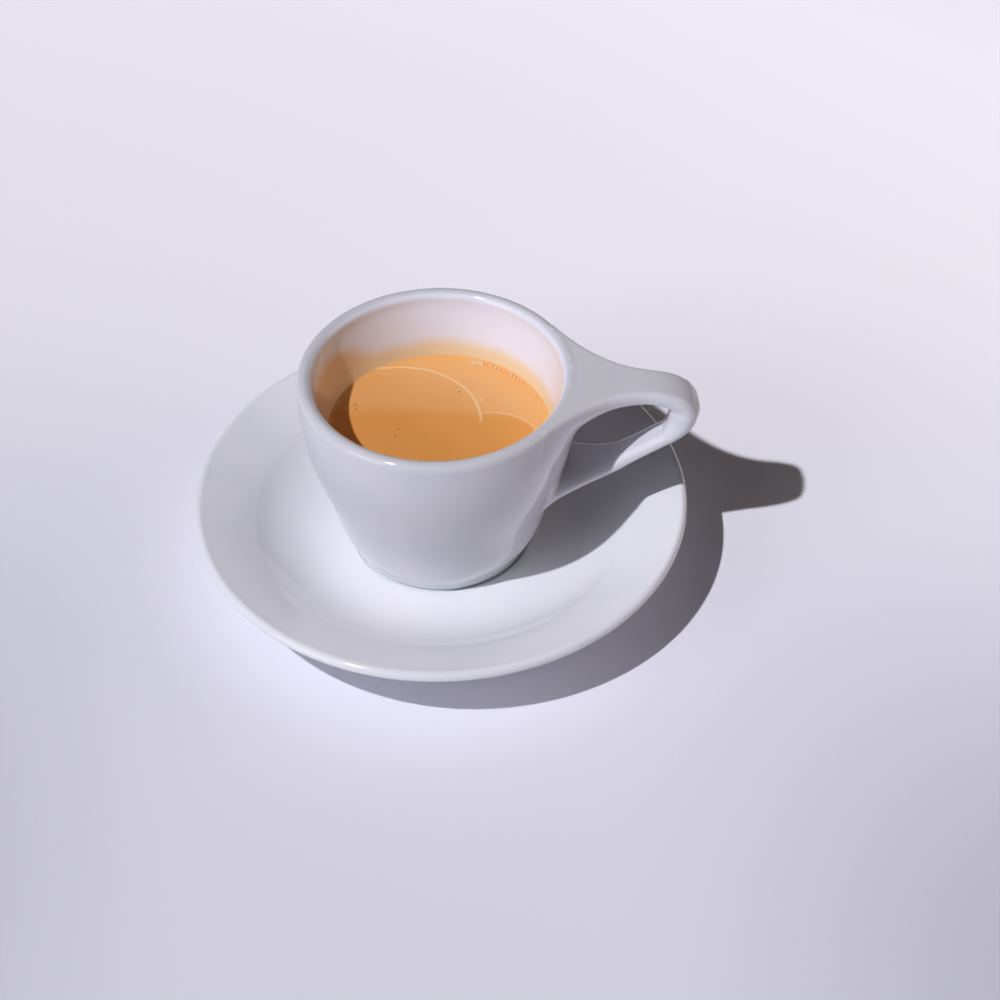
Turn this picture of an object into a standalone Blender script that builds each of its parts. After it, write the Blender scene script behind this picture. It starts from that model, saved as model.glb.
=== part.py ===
"""Espresso in a white porcelain cup that stands in its saucer.

Metres, +Z up. The origin is on the table, under the middle of the saucer, and the
cup's handle points along +X. Sections are written in millimetres as (radius, height)
and turned about Z.
"""
import math

import bmesh
import bpy
from mathutils import Vector

MM = 0.001

# Saucer, in mm
SAUCER_RADIUS = 60.0
SAUCER_LIP_HEIGHT = 18.1
SAUCER_LIP_RADIUS = 1.3
WELL_HEIGHT = 7.1
SEAT_RADIUS = 21.9
SEAT_DEPTH = 0.7
SEAT_SLOPE = 0.5
WELL_SLOPE = [(28.0, 7.1), (33.0, 7.45), (37.0, 8.55), (41.0, 10.4), (45.6, 13.55)]
OUTER_SLOPE = [(45.6, 13.55), (48.6, 15.3), (52.0, 16.93), (55.2, 18.24), (57.6, 19.1)]
UNDER_SLOPE = [(52.1, 13.2), (46.4, 10.0), (39.5, 5.9), (34.0, 3.6)]
FOOT_RING_OUTER = 32.5
FOOT_RING_INNER = 28.5
FOOT_RING_ROUND = 0.8
FOOT_RING_RUN = 0.6
UNDERSIDE_HEIGHT = 2.6

# Cup, in mm
CLEARANCE = 0.3
FOOT_HEIGHT = WELL_HEIGHT - SEAT_DEPTH + CLEARANCE
FOOT_RADIUS = 20.9
FOOT_ROUND = 0.8
FOOT_SLANT = 16.0
LIP_HEIGHT = 55.35
LIP_RADIUS = 30.9
LIP_ROUND = 1.8
RIM_HEIGHT = LIP_HEIGHT + LIP_ROUND
OUTER_WALL = [(24.1, 12.6), (26.6, 21.2), (29.4, 30.7), (31.7, 40.2), (32.6, 47.3)]
INNER_WALL = [(28.4, 50.5), (27.5, 45.5), (26.3, 40.3), (23.9, 32.0), (21.0, 22.8), (18.2, 16.6)]
BOWL_CORNER = [(14.6, 13.2), (8.5, 11.7)]
BOWL_HEIGHT = 11.3
HOLLOW_TOP = RIM_HEIGHT + 4.0
HOLLOW_SHIFT = 0.05

# Handle, in mm: a band that leaves the rim level, turns down at the nose and comes
# back to the wall as a slanting strap
BAND_START = 24.0
BAND_DIP = 0.2
BAND_THICKNESS = 4.8
BAND_HALF_WIDTH = 4.9
BAND_NARROWEST = 50.0
BAND_FLARE = 0.0258
BAND_DEEPENS_FROM = 43.0
BAND_DEEPENING = 0.038
NOSE_START = 47.0
NOSE_SHOULDER = (54.0, 55.0)
NOSE_REACH = 61.0
NOSE_HEIGHT = 49.8
NOSE_CHIN = 45.6
NOSE_THICKNESS = 6.0
NOSE_HALF_WIDTH = 5.2
NOSE_CROWN = 1.4
STRAP_TOP = (54.4, 40.2)
STRAP_MIDDLE = (44.2, 32.7)
STRAP_END = (24.0, 25.4)
STRAP_PULLS = (3.2, 3.5, 6.0)
STRAP_THICKNESS = 3.2
STRAP_HALF_WIDTH = 3.7
STRAP_NARROWEST = 49.0
STRAP_FLARE = 0.0155
EDGE_ROUND = 1.5

# Drink, in mm
DRINK_LEVEL = 40.3
DRINK_EDGE = 0.5

# Finishes, as linear colours and roughness
GLAZE_WHITE = (0.84, 0.84, 0.88, 1.0)
GLAZE_ROUGHNESS = 0.12
CREMA_TAN = (0.62, 0.30, 0.10, 1.0)
CREMA_ROUGHNESS = 0.35

# How finely the round shapes are divided
TURN_STEPS = 60
RUN_STEPS = 2
ROUND_STEPS = 4
LIP_STEPS = 5
CORNER_STEPS = 3
RING_STEPS = 3
PATH_STEPS = 6
SHARP_FROM = 40
MERGE_DISTANCE = 0.00001


def clear_scene():
    for thing in list(bpy.data.objects):
        bpy.data.objects.remove(thing, do_unlink=True)


def porcelain():
    material = bpy.data.materials.new("white_porcelain")
    material.use_nodes = True
    shader = material.node_tree.nodes["Principled BSDF"]
    shader.inputs["Base Color"].default_value = GLAZE_WHITE
    shader.inputs["Roughness"].default_value = GLAZE_ROUGHNESS
    shader.inputs["Metallic"].default_value = 0.0
    return material


def crema():
    material = bpy.data.materials.new("espresso_crema")
    material.use_nodes = True
    shader = material.node_tree.nodes["Principled BSDF"]
    shader.inputs["Base Color"].default_value = CREMA_TAN
    shader.inputs["Roughness"].default_value = CREMA_ROUGHNESS
    shader.inputs["Metallic"].default_value = 0.0
    return material


def smooth_run(stations, steps=RUN_STEPS):
    """Points on a smooth curve through the stations, the last one included."""
    points = []
    last = len(stations) - 1
    for index in range(last):
        before = Vector(stations[max(index - 1, 0)])
        start = Vector(stations[index])
        end = Vector(stations[index + 1])
        after = Vector(stations[min(index + 2, last)])
        for step in range(steps):
            t = step / steps
            pull = (end - before) * t + (2 * before - 5 * start + 4 * end - after) * t ** 2
            bend = (3 * start - before - 3 * end + after) * t ** 3
            point = start + (pull + bend) / 2
            points.append((point.x, point.y))
    points.append(tuple(stations[last]))
    return points


def arc(centre, radius, start_angle, end_angle, steps=ROUND_STEPS):
    """Points along an arc, with the angles in degrees."""
    points = []
    for step in range(steps + 1):
        angle = math.radians(start_angle + (end_angle - start_angle) * step / steps)
        points.append((centre[0] + radius * math.cos(angle), centre[1] + radius * math.sin(angle)))
    return points


def turned_mesh(name, section, steps=TURN_STEPS):
    """A closed solid from a section that runs from the axis round to the axis again."""
    mesh = bpy.data.meshes.new(name)
    shape = bmesh.new()
    previous = None
    first = None
    for radius, height in section:
        vertex = shape.verts.new((radius * MM, 0.0, height * MM))
        if previous is None:
            first = vertex
        else:
            shape.edges.new((previous, vertex))
        previous = vertex
    first.co.x = 0.0
    previous.co.x = 0.0
    bmesh.ops.spin(
        shape, geom=list(shape.verts) + list(shape.edges), cent=(0, 0, 0), axis=(0, 0, 1),
        angle=2 * math.pi, steps=steps, use_duplicate=False)
    bmesh.ops.remove_doubles(shape, verts=shape.verts, dist=MERGE_DISTANCE)
    bmesh.ops.recalc_face_normals(shape, faces=shape.faces)
    shape.to_mesh(mesh)
    shape.free()
    return mesh


def place(name, mesh, material):
    """One sub-part, shaded smooth up to its sharp edges."""
    thing = bpy.data.objects.new(name, mesh)
    bpy.context.scene.collection.objects.link(thing)
    mesh.materials.append(material)
    mesh.shade_smooth()
    mesh.set_sharp_from_angle(angle=math.radians(SHARP_FROM))
    return thing


def saucer_section():
    seat_height = WELL_HEIGHT - SEAT_DEPTH
    seat = [
        (0.0, seat_height),
        (SEAT_RADIUS / 2, seat_height),
        (SEAT_RADIUS, seat_height),
        (SEAT_RADIUS + SEAT_SLOPE, WELL_HEIGHT),
    ]
    top = smooth_run(WELL_SLOPE)[:-1] + smooth_run(OUTER_SLOPE)
    lip_centre = (SAUCER_RADIUS - SAUCER_LIP_RADIUS, SAUCER_LIP_HEIGHT)
    lip = arc(lip_centre, SAUCER_LIP_RADIUS, 90, -60, LIP_STEPS)
    under = smooth_run(UNDER_SLOPE)
    outer_side = (FOOT_RING_OUTER - FOOT_RING_ROUND, FOOT_RING_ROUND)
    inner_side = (FOOT_RING_INNER + FOOT_RING_ROUND, FOOT_RING_ROUND)
    ring = arc(outer_side, FOOT_RING_ROUND, 0, -90, RING_STEPS)
    ring += arc(inner_side, FOOT_RING_ROUND, -90, -180, RING_STEPS)
    middle = [(FOOT_RING_INNER - FOOT_RING_RUN, UNDERSIDE_HEIGHT), (0.0, UNDERSIDE_HEIGHT)]
    return seat + top + lip + under + ring + middle


def make_saucer(material):
    return place("saucer", turned_mesh("saucer", saucer_section()), material)


def cup_outside():
    """The cup's outer solid, from the middle of its rim down to the middle of its foot."""
    lip = arc((LIP_RADIUS, LIP_HEIGHT), LIP_ROUND, 90, 0)
    wall = smooth_run(
        [lip[-1]] + list(reversed(OUTER_WALL)) + [(FOOT_RADIUS + FOOT_ROUND, FOOT_HEIGHT + FOOT_ROUND)])
    foot = arc((FOOT_RADIUS, FOOT_HEIGHT + FOOT_ROUND), FOOT_ROUND, -FOOT_SLANT, -90)
    return [(0.0, RIM_HEIGHT)] + lip + wall[1:-1] + foot + [(0.0, FOOT_HEIGHT)]


def cup_inside():
    """The hollow, from above the rim down to the middle of the bowl."""
    lip = arc((LIP_RADIUS + HOLLOW_SHIFT, LIP_HEIGHT + HOLLOW_SHIFT), LIP_ROUND, 90, 180)
    bowl = smooth_run([lip[-1]] + INNER_WALL + BOWL_CORNER + [(0.0, BOWL_HEIGHT)])
    return [(0.0, HOLLOW_TOP), (lip[0][0], HOLLOW_TOP)] + lip + bowl[1:]


def bezier(start, pull, push, end, steps=PATH_STEPS):
    """Points along a cubic curve in the handle's plane, without the last one."""
    points = []
    for step in range(steps):
        t = step / steps
        point = (
            Vector(start) * (1 - t) ** 3
            + Vector(pull) * 3 * t * (1 - t) ** 2
            + Vector(push) * 3 * t ** 2 * (1 - t)
            + Vector(end) * t ** 3)
        points.append(point)
    return points


def handle_path():
    """The loop's outer line as (reach, height) points: band top, nose, strap underside."""
    top = RIM_HEIGHT - BAND_DIP
    nose = Vector((NOSE_REACH - NOSE_CROWN, NOSE_HEIGHT))
    strap_top = Vector(STRAP_TOP)
    strap_middle = Vector(STRAP_MIDDLE)
    strap_end = Vector(STRAP_END)
    slant = (strap_top - strap_middle).normalized()
    root = (strap_middle - strap_end).normalized()
    strap_pull, middle_pull, root_pull = STRAP_PULLS
    shoulder_reach, shoulder_height = NOSE_SHOULDER
    third = Vector(((NOSE_START - BAND_START) / 3, 0.0))
    start, nose_start = Vector((BAND_START, top)), Vector((NOSE_START, top))
    path = bezier(start, start + third, nose_start - third, nose_start, PATH_STEPS + 1)
    path += bezier(nose_start, (shoulder_reach, top), (nose.x, shoulder_height), nose)
    path += bezier(nose, (nose.x, NOSE_CHIN), strap_top + slant * strap_pull, strap_top)
    path += bezier(
        strap_top, strap_top - slant * middle_pull, strap_middle + slant * middle_pull, strap_middle,
        CORNER_STEPS)
    path += bezier(
        strap_middle, strap_middle - slant * root_pull, strap_end + root * root_pull, strap_end)
    path.append(strap_end)
    return path


def flare(value, narrowest, rate):
    return rate * max(narrowest - value, 0.0) ** 2


def between(start, end, share):
    return start + (end - start) * min(max(share, 0.0), 1.0)


def handle_size(point):
    """Half width, thickness and crown of the handle at a point of its outer line."""
    if point.y > NOSE_HEIGHT:
        share = (RIM_HEIGHT - BAND_DIP - point.y) / (RIM_HEIGHT - BAND_DIP - NOSE_HEIGHT)
        width = between(BAND_HALF_WIDTH, NOSE_HALF_WIDTH, share)
        width += flare(point.x, BAND_NARROWEST, BAND_FLARE)
        thickness = between(BAND_THICKNESS, NOSE_THICKNESS, share)
        thickness += flare(point.x, BAND_DEEPENS_FROM, BAND_DEEPENING)
        return width, thickness, between(0.0, NOSE_CROWN, share)
    share = (NOSE_HEIGHT - point.y) / (NOSE_HEIGHT - STRAP_TOP[1])
    width = between(NOSE_HALF_WIDTH, STRAP_HALF_WIDTH, share)
    width += flare(point.x, STRAP_NARROWEST, STRAP_FLARE)
    thickness = between(NOSE_THICKNESS, STRAP_THICKNESS, share ** 2)
    return width, thickness, between(NOSE_CROWN, 0.0, share)


def band_section(half_width, thickness, crown):
    """A flat section with round corners, crowned outside, as (across, depth) points."""
    inner_round = thickness - EDGE_ROUND
    outer = arc((half_width - EDGE_ROUND, -EDGE_ROUND), EDGE_ROUND, 0, 90, CORNER_STEPS)
    outer.append((0.0, 0.0))
    outer += arc((EDGE_ROUND - half_width, -EDGE_ROUND), EDGE_ROUND, 90, 180, CORNER_STEPS)
    inner = arc((inner_round - half_width, -EDGE_ROUND), inner_round, 180, 270, CORNER_STEPS)[1:]
    inner += arc((half_width - inner_round, -EDGE_ROUND), inner_round, 270, 360, CORNER_STEPS)[:-1]
    crowned = []
    for across, depth in outer:
        crowned.append((across, depth + crown * (1 - (across / half_width) ** 2)))
    return crowned + inner


def handle_mesh():
    path = handle_path()
    shape = bmesh.new()
    rings = []
    for index, point in enumerate(path):
        ahead = path[min(index + 1, len(path) - 1)]
        behind = path[max(index - 1, 0)]
        along = (ahead - behind).normalized()
        out = Vector((-along.y, along.x))
        ring = []
        for across, depth in band_section(*handle_size(point)):
            spot = point + out * depth
            ring.append(shape.verts.new((spot.x * MM, across * MM, spot.y * MM)))
        rings.append(ring)
    for ring, following in zip(rings, rings[1:]):
        count = len(ring)
        for index in range(count):
            beside = (index + 1) % count
            shape.faces.new((ring[index], ring[beside], following[beside], following[index]))
    shape.faces.new(rings[0])
    shape.faces.new(rings[-1])
    bmesh.ops.recalc_face_normals(shape, faces=shape.faces)
    mesh = bpy.data.meshes.new("handle")
    shape.to_mesh(mesh)
    shape.free()
    return mesh


def combine(thing, tool, operation):
    """Join or cut with another solid, then drop that solid."""
    change = thing.modifiers.new(operation, "BOOLEAN")
    change.operation = operation
    change.solver = "EXACT"
    change.object = tool
    bpy.context.view_layer.update()
    mesh = bpy.data.meshes.new_from_object(thing.evaluated_get(bpy.context.evaluated_depsgraph_get()))
    thing.modifiers.remove(change)
    thing.data = mesh
    bpy.data.objects.remove(tool, do_unlink=True)


def make_cup(material):
    cup = place("cup", turned_mesh("cup", cup_outside()), material)
    handle = place("handle_blank", handle_mesh(), material)
    combine(cup, handle, "UNION")
    hollow = place("hollow_blank", turned_mesh("hollow", cup_inside()), material)
    combine(cup, hollow, "DIFFERENCE")
    cup.data.name = "cup"
    cup.data.shade_smooth()
    cup.data.set_sharp_from_angle(angle=math.radians(SHARP_FROM))
    return cup


def drink_section():
    """The drink fills the bowl up to its level, a hair inside the wall."""
    inside = cup_inside()[2:]
    wall = [point for point in inside if point[1] < DRINK_LEVEL - DRINK_EDGE]
    above = [point for point in inside if point[1] >= DRINK_LEVEL - DRINK_EDGE][-1]
    below = wall[0]
    share = (DRINK_LEVEL - below[1]) / (above[1] - below[1])
    edge = below[0] + (above[0] - below[0]) * share - CLEARANCE
    section = [(0.0, DRINK_LEVEL), (edge / 2, DRINK_LEVEL), (edge, DRINK_LEVEL)]
    for radius, height in wall[:-1]:
        lift = CLEARANCE if radius < INNER_WALL[-1][0] else 0.0
        section.append((max(radius - CLEARANCE, 0.0), height + lift))
    section.append((0.0, BOWL_HEIGHT + CLEARANCE))
    return section


def make_drink(material):
    return place("espresso", turned_mesh("espresso", drink_section()), material)


def main():
    clear_scene()
    glaze = porcelain()
    make_saucer(glaze)
    make_cup(glaze)
    make_drink(crema())


main()
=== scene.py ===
import math

import bmesh
import bpy
import numpy as np
from mathutils import Matrix, Vector


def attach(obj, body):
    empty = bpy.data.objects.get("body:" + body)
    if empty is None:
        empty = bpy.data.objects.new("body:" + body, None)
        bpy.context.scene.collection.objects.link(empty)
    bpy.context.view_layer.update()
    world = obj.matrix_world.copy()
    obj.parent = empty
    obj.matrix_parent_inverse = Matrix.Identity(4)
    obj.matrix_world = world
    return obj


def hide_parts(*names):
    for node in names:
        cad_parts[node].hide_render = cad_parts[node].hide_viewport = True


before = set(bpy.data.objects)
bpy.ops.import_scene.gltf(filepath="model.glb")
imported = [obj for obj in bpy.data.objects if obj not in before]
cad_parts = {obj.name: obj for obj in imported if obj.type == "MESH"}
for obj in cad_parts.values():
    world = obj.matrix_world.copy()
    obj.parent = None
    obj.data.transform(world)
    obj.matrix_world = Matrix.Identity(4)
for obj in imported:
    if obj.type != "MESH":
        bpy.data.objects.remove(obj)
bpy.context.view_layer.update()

MM = 0.001

# Cup, in mm: (radius, height) stations, with heights above the table
RIM_HEIGHT = 57.15
LIP_RADIUS = 30.9
LIP_ROUND = 1.8
LIP_HEIGHT = RIM_HEIGHT - LIP_ROUND
OUTER_WALL = [(32.6, 47.3), (31.7, 40.2), (29.4, 30.7), (26.6, 21.2), (24.1, 12.6)]
INNER_WALL = [(28.4, 50.5), (27.5, 45.5), (26.3, 40.3), (23.9, 32.0), (21.0, 22.8), (18.2, 16.6)]
BOWL_FLOOR = [(14.6, 13.2), (8.5, 11.7), (0.0, 11.3)]
FOOT_HEIGHT = 6.7
FOOT_RADIUS = 20.9
FOOT_ROUND = 0.8
FOOT_SLANT = 16.0

# Handle, in mm: the outer line as (reach, height), and its size along that line
BAND_TOP = 57.1
BAND_START = 14.0
BAND_THICKNESS = 4.8
BAND_HALF_WIDTH = 4.9
BAND_NARROWEST = 50.0
BAND_FLARE = 0.0258
BAND_ROOT = 26.0
BAND_DEEPENS_FROM = 43.0
BAND_DEEPENING = 0.038
NOSE_START = 47.0
NOSE_PULL = (54.0, 55.0)
NOSE_REACH = 59.6
NOSE_HEIGHT = 49.8
NOSE_PUSH = 45.6
NOSE_THICKNESS = 6.0
NOSE_HALF_WIDTH = 5.2
NOSE_CROWN = 1.4
STRAP_TOP = (54.4, 40.2)
STRAP_MIDDLE = (44.2, 32.7)
STRAP_END = (24.0, 25.4)
STRAP_START = (14.0, 21.8)
STRAP_THICKNESS = 3.2
STRAP_HALF_WIDTH = 3.7
STRAP_NARROWEST = 49.0
STRAP_FLARE = 0.0155
EDGE_ROUND = 1.5
FILLET_TOP = 0.5
FILLET_BELOW = 6.5
FILLET_STRAP = 3.0
FILLET_HEIGHTS = (45.0, 56.5)
STRAP_HEIGHTS = (31.0, 37.0)

# How far the loop's curves run on along the strap's two lines, in mm
NOSE_RUN = 3.2
STRAP_RUN = 3.5
ROOT_RUN = 6.0

# Saucer, in mm
SAUCER_RADIUS = 59.95
SAUCER_LIP_HEIGHT = 18.1
SAUCER_LIP_ROUND = 1.3
SEAT_HEIGHT = 6.4
SEAT_RADIUS = 21.9
SEAT_SLOPE = 0.5
SEAT_BEND = (0.3, 0.06)
WELL_HEIGHT = 7.1
WELL_BEND = (0.2, 0.12)
WELL_SINK = 0.02
WELL_SLOPE = [(25.0, 7.1), (28.0, 7.1), (33.0, 7.45), (37.0, 8.55), (41.0, 10.4), (45.6, 13.55)]
WELL_END = (1.0, 0.80)
OUTER_START = (1.0, 0.62)
OUTER_SLOPE = [(45.6, 13.55), (48.6, 15.3), (52.0, 16.93), (55.2, 18.24), (57.6, 19.1)]
LIP_TURNS_FROM = 108.0
LIP_TURNS_TO = -62.0
UNDER_SLOPE = [(52.1, 13.2), (46.4, 10.0), (39.5, 5.9), (34.0, 3.6)]
RING_OUTSIDE = 32.5
RING_INSIDE = 28.5
RING_ROUND = 0.8
UNDERSIDE_INSET = 0.6
UNDERSIDE_HEIGHT = 2.6

# Drink, in mm
DRINK_LEVEL = 40.1
MENISCUS = 0.45
MENISCUS_REACH = 1.5
MENISCUS_CURVE = 2.5
INTO_WALL = 0.45

# Bubbles and specks on the drink, in mm, with arcs in degrees
BUBBLE_ARC = (70.0, 24.0)
BUBBLE_RADIUS = 25.5
BUBBLE_LIFT = 0.15
BUBBLE_STEPS = 17
BUBBLE_SIZES = {"Spread": 0.2, "Smallest": 0.2, "Largest": 0.48}
BUBBLE_FLATNESS = 0.8
GLINT_ARC = (77.0, 70.5)
GLINT_INSET = 0.4
GLINT_STEPS = 4
GLINT_SIZES = {"Spread": 0.1, "Smallest": 0.36, "Largest": 0.6}
GLINT_FLATNESS = 0.7
SPECK_SHIFTS = (-0.1, 0.12)
SPECKS = [(-16.8, 21.1), (-15.7, 22.1), (-7.9, 25.2), (-20.6, 5.4),
          (-20.8, 6.7), (-10.0, -3.7), (-9.7, -1.3), (3.7, 13.1)]
SPECK_SIZES = {"Spread": 0.1, "Smallest": 0.08, "Largest": 0.2}
SPECK_FLATNESS = 0.5
BEAD_SEGMENTS = 10
BEAD_RINGS = 7

# Fineness, in mm where it is a length
CUP_PITCH = 0.56
LATTICE_PITCH = 0.1
LINE_GAP = 0.35
SLOPE_STEP = 0.08
TURN_STEPS = 192
DRINK_TURN_STEPS = 144
STRAP_STEPS = 24
RING_STEPS = 6
SURFACE_STEPS = 40
SURFACE_CROWDING = 0.8
MENISCUS_STEPS = 14
WALL_STRIDE = 4
SETTLING_TURNS = 3
SPOTS_AT_ONCE = 8000

# Room round the shapes for the lattices, as lowest and highest corners in mm
CUP_ROOM = ((-34.0, -34.0, 5.5), (61.5, 34.0, 58.5))
WALL_ROOM = ((0.0, 3.0), (40.0, 62.0))
HANDLE_ROOM = ((10.0, 16.0), (63.0, 60.0))
HANDLE_FROM = 12.0
HOLLOW_ABOVE = 6.0
PAST_AXIS = 5.0
FAR_OFF = 50.0
LEAST_RADIUS = 0.1
LEAST_SLOPE = 0.2

# Camera and lights, recovered from the rims and the shadows: places in mm, sizes in metres
CAMERA_PLACE = (36.92, -351.27, 356.27)
CAMERA_LENS = 72.0
FIELD_WIDTH = 36.0
VIEW_AZIMUTH = 6.0
VIEW_ELEVATION = 0.789718
PAN = -0.0292897
TILT = 0.0223331
ROLL = 0.0313769
KEY_PLACE = (-260.0, -295.0, 585.0)
KEY_COLOUR = (0.945, 0.94, 1.0)
KEY_POWER = 16.2
KEY_RADIUS = 0.008
MOST_WIDENING = 1.6
PANELS = [
    ("front_left_panel", (-694, -583, 443), (0.5, 0.5), 2.3, (0.92, 0.93, 1.0)),
    ("right_panel", (906, 0, 443), (0.5, 0.5), 1.0, (1.0, 0.87, 0.72)),
]
PANEL_AIM = (0, 0, 20)
ROOM_COLOUR = (0.85, 0.84, 1.0, 1.0)
ROOM_LIGHT = 0.02
TABLE_HALF = 12.0


# Lines and meshes

def spline(stations, start=None, end=None, gap=LINE_GAP):
    """A smooth line through the stations, with its directions at the two ends if given."""
    points = np.array(stations, float)
    count = len(points)
    steps = np.hypot(*np.diff(points, axis=0).T)
    system = np.zeros((count, count))
    known = np.zeros((count, 2))
    for here in range(1, count - 1):
        before, after = steps[here - 1], steps[here]
        system[here, here - 1:here + 2] = (after, 2 * (before + after), before)
        rise = (points[here] - points[here - 1]) / before
        fall = (points[here + 1] - points[here]) / after
        known[here] = 3 * (after * rise + before * fall)
    for row, near, step, way in ((0, 1, steps[0], start), (count - 1, count - 2, steps[-1], end)):
        if way is None:
            system[row, row], system[row, near] = 2, 1
            known[row] = 3 * abs(near - row) * (points[max(row, near)] - points[min(row, near)]) / step
        else:
            system[row, row] = 1
            known[row] = np.array(way) / np.hypot(*way)
    slopes = np.linalg.solve(system, known)
    line = []
    for here in range(count - 1):
        pieces = max(int(math.ceil(steps[here] / gap)), 2)
        t = (np.arange(pieces) / pieces)[:, None]
        line.append(
            points[here] * (1 - 3 * t ** 2 + 2 * t ** 3) + points[here + 1] * (3 * t ** 2 - 2 * t ** 3)
            + slopes[here] * steps[here] * (t - 2 * t ** 2 + t ** 3)
            + slopes[here + 1] * steps[here] * (t ** 3 - t ** 2))
    line.append(points[-1:])
    return np.concatenate(line)


def arc(centre, radius, start_angle, end_angle, steps=16):
    """Points along an arc, with the angles in degrees."""
    angles = np.radians(np.linspace(start_angle, end_angle, steps + 1))
    return np.array(centre) + radius * np.stack([np.cos(angles), np.sin(angles)], 1)


def bezier(start, pull, push, end, steps=40):
    """Points along a cubic curve, without the last one."""
    t = (np.arange(steps) / steps)[:, None]
    start, pull, push, end = (np.array(corner, float) for corner in (start, pull, push, end))
    return start * (1 - t) ** 3 + pull * 3 * t * (1 - t) ** 2 + push * 3 * t ** 2 * (1 - t) + end * t ** 3


def object_from(name, mesh, material):
    thing = bpy.data.objects.new(name, mesh)
    bpy.context.scene.collection.objects.link(thing)
    mesh.materials.append(material)
    mesh.shade_smooth()
    return thing


def turned(name, section, material, steps=TURN_STEPS):
    """A closed piece turned about Z from a section that starts and ends on the axis."""
    section = np.array(section, float)
    rings = section[1:-1]
    angles = np.arange(steps) * 2 * math.pi / steps
    flat = np.stack([np.cos(angles), np.sin(angles)], 1)
    body = np.empty((len(rings), steps, 3))
    body[..., :2] = rings[:, None, :1] * flat[None]
    body[..., 2] = rings[:, None, 1]
    points = np.concatenate([[(0, 0, section[0, 1])], body.reshape(-1, 3), [(0, 0, section[-1, 1])]])
    last = len(points) - 1
    faces = []
    for index in range(steps):
        beside = (index + 1) % steps
        faces.append((0, 1 + index, 1 + beside))
        foot = 1 + (len(rings) - 1) * steps
        faces.append((last, foot + beside, foot + index))
        for ring in range(len(rings) - 1):
            here = 1 + ring * steps
            faces.append((here + index, here + steps + index, here + steps + beside, here + beside))
    mesh = bpy.data.meshes.new(name)
    mesh.from_pydata((points * MM).tolist(), [], faces)
    shape = bmesh.new()
    shape.from_mesh(mesh)
    bmesh.ops.recalc_face_normals(shape, faces=shape.faces)
    shape.to_mesh(mesh)
    shape.free()
    return object_from(name, mesh, material)


# Cup with its handle, as one glazed form

def nearest(spots, line):
    """How far each spot is from a line of points, and its place along the line."""
    start = line[:-1]
    run = line[1:] - start
    size = (run ** 2).sum(1)
    gaps = np.empty(len(spots))
    places = np.empty(len(spots))
    for first in range(0, len(spots), SPOTS_AT_ONCE):
        some = spots[first:first + SPOTS_AT_ONCE]
        offset = some[:, None, :] - start[None]
        share = np.clip((offset * run).sum(2) / size, 0, 1)
        left = offset - share[..., None] * run
        gap = (left ** 2).sum(2)
        index = gap.argmin(1)
        rows = np.arange(len(some))
        gaps[first:first + SPOTS_AT_ONCE] = np.sqrt(gap[rows, index])
        places[first:first + SPOTS_AT_ONCE] = index + share[rows, index]
    return gaps, places


def is_within(spots, outline):
    """True for each spot inside a closed outline."""
    inside = np.zeros(len(spots), bool)
    for (x0, y0), (x1, y1) in zip(outline, np.roll(outline, -1, axis=0)):
        if y0 == y1:
            continue
        across = (y0 > spots[:, 1]) != (y1 > spots[:, 1])
        edge = x0 + (spots[:, 1] - y0) * (x1 - x0) / (y1 - y0)
        inside ^= across & (spots[:, 0] < edge)
    return inside


class Lattice:
    """Values on a fine square lattice, read between its points."""

    def __init__(self, low, high, make):
        self.low = np.array(low, float)
        counts = np.ceil((np.array(high) - self.low) / LATTICE_PITCH).astype(int) + 1
        first = self.low[0] + np.arange(counts[0]) * LATTICE_PITCH
        second = self.low[1] + np.arange(counts[1]) * LATTICE_PITCH
        spots = np.stack(np.meshgrid(first, second, indexing="ij"), -1).reshape(-1, 2)
        self.values = make(spots).reshape(counts[0], counts[1], -1)

    def __call__(self, first, second):
        place = (first - self.low[0]) / LATTICE_PITCH
        rise = (second - self.low[1]) / LATTICE_PITCH
        i = np.clip(place.astype(int), 0, self.values.shape[0] - 2)
        j = np.clip(rise.astype(int), 0, self.values.shape[1] - 2)
        u = np.clip(place - i, 0, 1)[..., None]
        v = np.clip(rise - j, 0, 1)[..., None]
        table = self.values
        low = table[i, j] * (1 - u) + table[i + 1, j] * u
        high = table[i, j + 1] * (1 - u) + table[i + 1, j + 1] * u
        return low * (1 - v) + high * v


def section_depth(line):
    """A maker of distances to a turned section, negative inside it."""
    outline = np.concatenate([line, [(-PAST_AXIS, line[-1, 1]), (-PAST_AXIS, line[0, 1])]])

    def make(spots):
        gaps = nearest(spots, line)[0]
        return np.where(is_within(spots, outline), -gaps, gaps)
    return make


def outer_line():
    lip = arc((LIP_RADIUS, LIP_HEIGHT), LIP_ROUND, 90, 0)
    foot = arc((FOOT_RADIUS, FOOT_HEIGHT + FOOT_ROUND), FOOT_ROUND, -FOOT_SLANT, -90)
    slant = math.radians(FOOT_SLANT)
    down_to_foot = (-math.sin(slant), -math.cos(slant))
    wall = spline([lip[-1]] + OUTER_WALL + [foot[0]], start=(0, -1), end=down_to_foot)
    return np.concatenate([[(0, RIM_HEIGHT)], lip[:-1], wall, foot[1:], [(0, FOOT_HEIGHT)]])


def inner_line():
    lip = arc((LIP_RADIUS, LIP_HEIGHT), LIP_ROUND, 90, 180)
    bowl = spline([lip[-1]] + INNER_WALL + BOWL_FLOOR, start=(0, -1), end=(-1, 0))
    top = RIM_HEIGHT + HOLLOW_ABOVE
    return np.concatenate([[(0, top), (LIP_RADIUS, top)], lip[:-1], bowl])


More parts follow.
